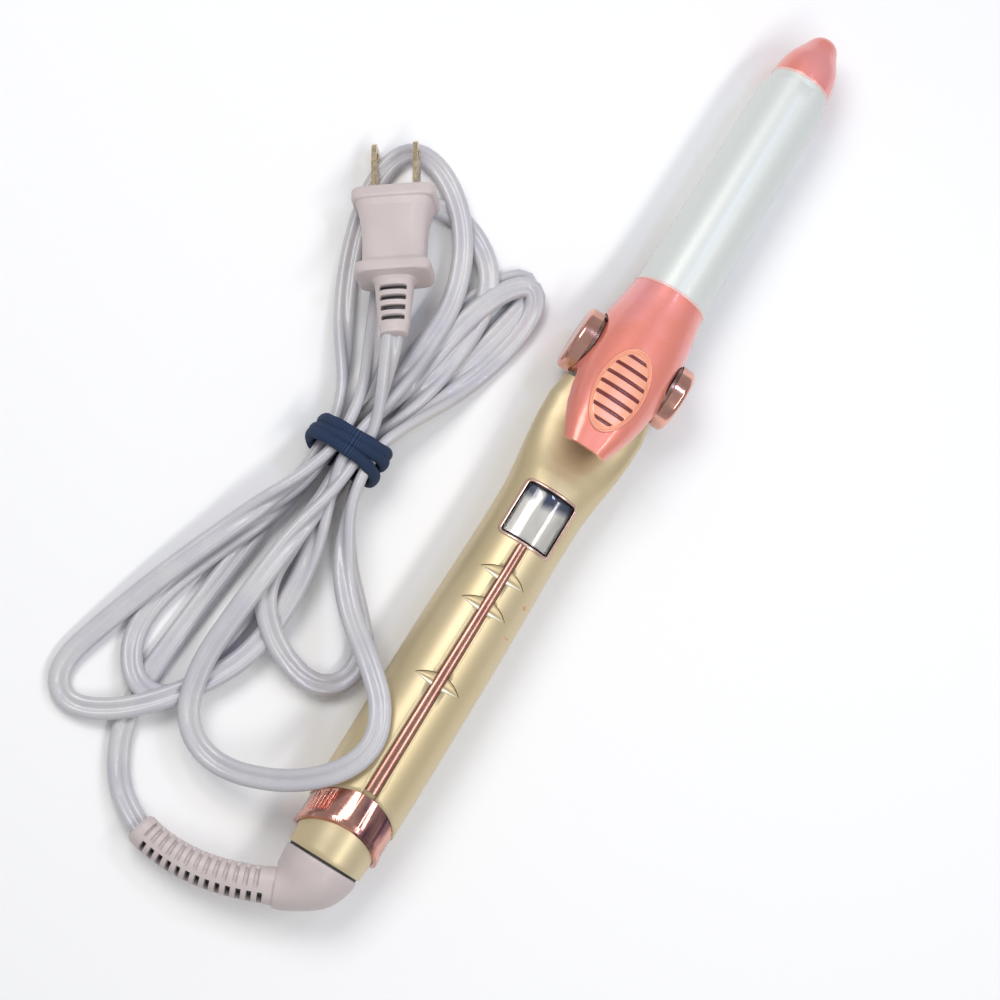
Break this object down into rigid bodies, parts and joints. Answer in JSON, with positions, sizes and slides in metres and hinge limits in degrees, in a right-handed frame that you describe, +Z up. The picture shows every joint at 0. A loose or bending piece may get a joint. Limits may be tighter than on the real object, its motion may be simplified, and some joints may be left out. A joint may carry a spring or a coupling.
{
  "type": "curling iron",
  "caption": "Hair curling iron with a round barrel, sprung clip and thumb lever, display handle, fold-out rest, swivel cord exit, bundled flat cord and two-blade plug.",
  "frame": {"origin": "on the flat land under the handle, on the surface that the iron lies on, half way between the end cap and the barrel's tip, within 5 mm", "axes": "+X along the barrel to its tip, +Z up through the clip and the display, +Y to the side where the cord lies"},
  "size_m": [0.3223, 0.1203, 0.0342],
  "materials": {
    "gold_shell": "satin metallic champagne gold",
    "copper_trim": "polished copper",
    "dark_frame": "dark copper gloss",
    "window": "clear glossy window",
    "display": "silver grey display face",
    "board": "circuit board",
    "black_plastic": "matt black",
    "steel": "plain steel",
    "spring_steel": "spring steel",
    "barrel_coat": "pearl white ceramic coat",
    "coral_gloss": "coral pearl gloss",
    "coral_pad": "coral pearl satin",
    "aluminium": "extruded",
    "ceramic": "heater ceramic",
    "wire_sleeve": "glass fibre sleeve",
    "brass": "brass",
    "cord_grey": "pale grey moulded plastic",
    "elastic": "navy elastic"
  },
  "bodies": {
    "handle": {"handle_upper_shell": "gold_shell", "handle_lower_shell": "gold_shell", "handle_end_cap": "gold_shell", "end_ring": "copper_trim", "trim_strip": "copper_trim", "display_bezel": "dark_frame", "display_lens": "window", "display_module": "display", "circuit_board": "board", "dome_switches": "black_plastic", "shell_screws": "steel", "barrel_tube": "barrel_coat", "barrel_tip": "coral_gloss", "barrel_collar": "black_plastic", "hub_screws": "steel", "heater_clamp_upper": "aluminium", "heater_clamp_lower": "aluminium", "heater_plate": "ceramic", "thermistor": "ceramic", "heater_leads": "wire_sleeve", "clip_spring": "spring_steel", "swivel_washer": "black_plastic", "contact_brushes": "brass", "cord_tail": "cord_grey", "cord_hank": "cord_grey", "cord_tie": "elastic", "plug_body": "cord_grey", "plug_blades": "brass"},
    "clip_assembly": {"clip": "barrel_coat", "clip_rivets": "steel", "thumb_lever": "coral_gloss", "grip_pad": "coral_pad"},
    "rest": {"stand_leg": "steel", "stand_cap_left": "copper_trim", "stand_cap_right": "copper_trim"},
    "swivel": {"swivel_spindle": "black_plastic", "slip_rings": "brass", "swivel_elbow": "cord_grey", "strain_relief_boot": "cord_grey"},
    "plus_key": {"plus_button": "gold_shell"},
    "minus_key": {"minus_button": "gold_shell"},
    "power_key": {"power_button": "gold_shell"}
  },
  "joints": [
    {"name": "clip_hinge", "type": "hinge", "parent": "handle", "child": "clip_assembly", "pos_m": [0.02725, 0, 0.0137], "axis": [0, -1, 0], "range_deg": [0, 12], "stiffness_Nm_per_rad": 1.2, "springref_deg": -14.32, "deforming": ["clip_spring"]},
    {"name": "rest_hinge", "type": "hinge", "parent": "handle", "child": "rest", "pos_m": [0.02725, 0, 0.0137], "axis": [0, 1, 0], "range_deg": [0, 95]},
    {"name": "cord_swivel", "type": "hinge", "parent": "handle", "child": "swivel", "pos_m": [-0.1451, 0, 0.0137], "axis": [1, 0, 0], "continuous": true},
    {"name": "plus_press", "type": "slide", "parent": "handle", "child": "plus_key", "axis": [0, 0, -1], "range_m": [0, 0.0006], "stiffness_N_per_m": 900},
    {"name": "minus_press", "type": "slide", "parent": "handle", "child": "minus_key", "axis": [0, 0, -1], "range_m": [0, 0.0006], "stiffness_N_per_m": 900},
    {"name": "power_press", "type": "slide", "parent": "handle", "child": "power_key", "axis": [0, 0, -1], "range_m": [0, 0.0006], "stiffness_N_per_m": 900}
  ]
}
